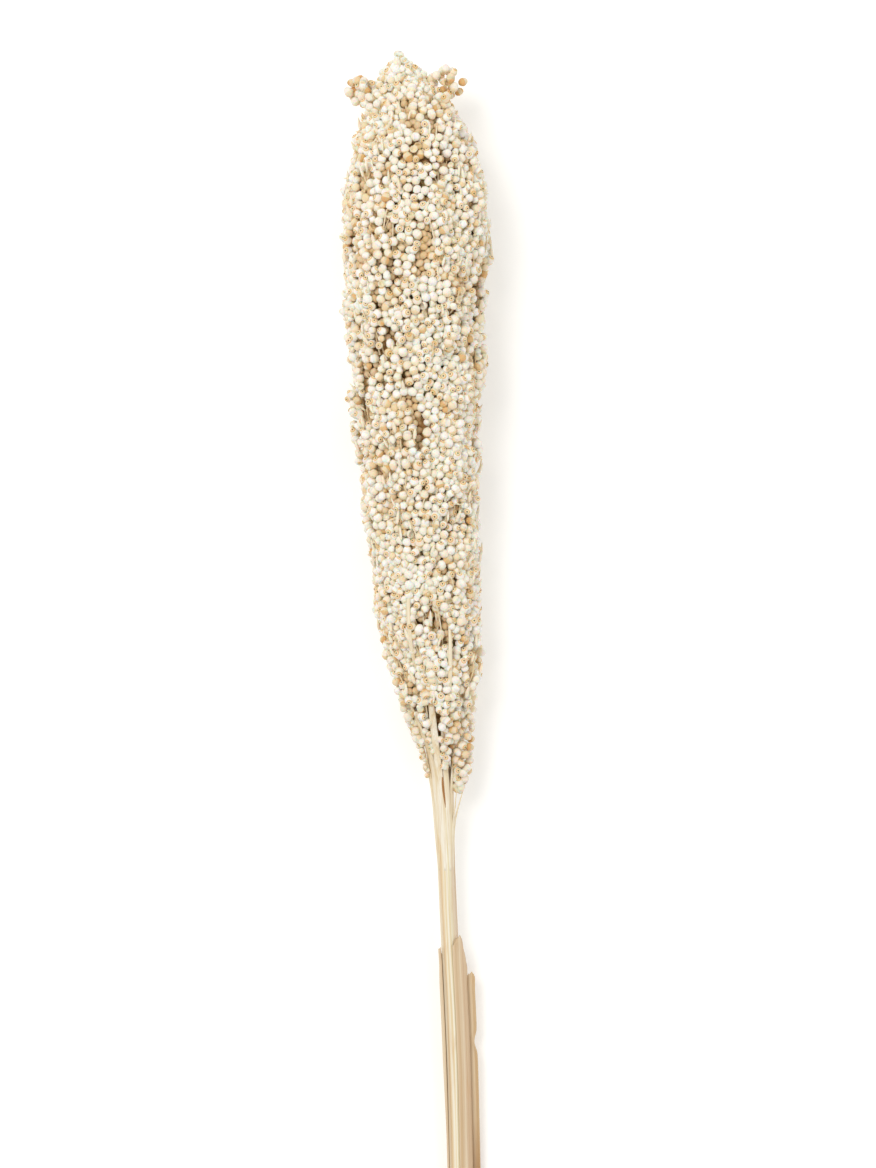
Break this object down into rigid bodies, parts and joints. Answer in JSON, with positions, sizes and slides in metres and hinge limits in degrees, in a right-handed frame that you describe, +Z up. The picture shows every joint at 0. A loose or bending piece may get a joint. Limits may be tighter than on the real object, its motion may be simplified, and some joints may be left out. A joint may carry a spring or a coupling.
{
  "type": "sorghum seed head",
  "caption": "Long dried sorghum seed head, covered in round pale grains, on a slender fluted straw stalk with torn leaf sheaths at its cut end.",
  "frame": {"origin": "centre of the flat spot under the head, on the surface that it lies on", "axes": "+Y along the stalk towards the head's tip, +Z up from the surface, +X across"},
  "size_m": [0.0635, 0.5, 0.0592],
  "materials": {
    "grain": "matte bleached seed, cream-white with beige shadows",
    "straw": "satin dried straw with long pale and beige streaks",
    "leaf": "dry papery leaf base, matte, with long veins"
  },
  "bodies": {
    "root": {"seed_head": "grain", "stem": "straw", "leaf_sheath": "leaf", "outer_sheath": "leaf"}
  },
  "joints": []
}
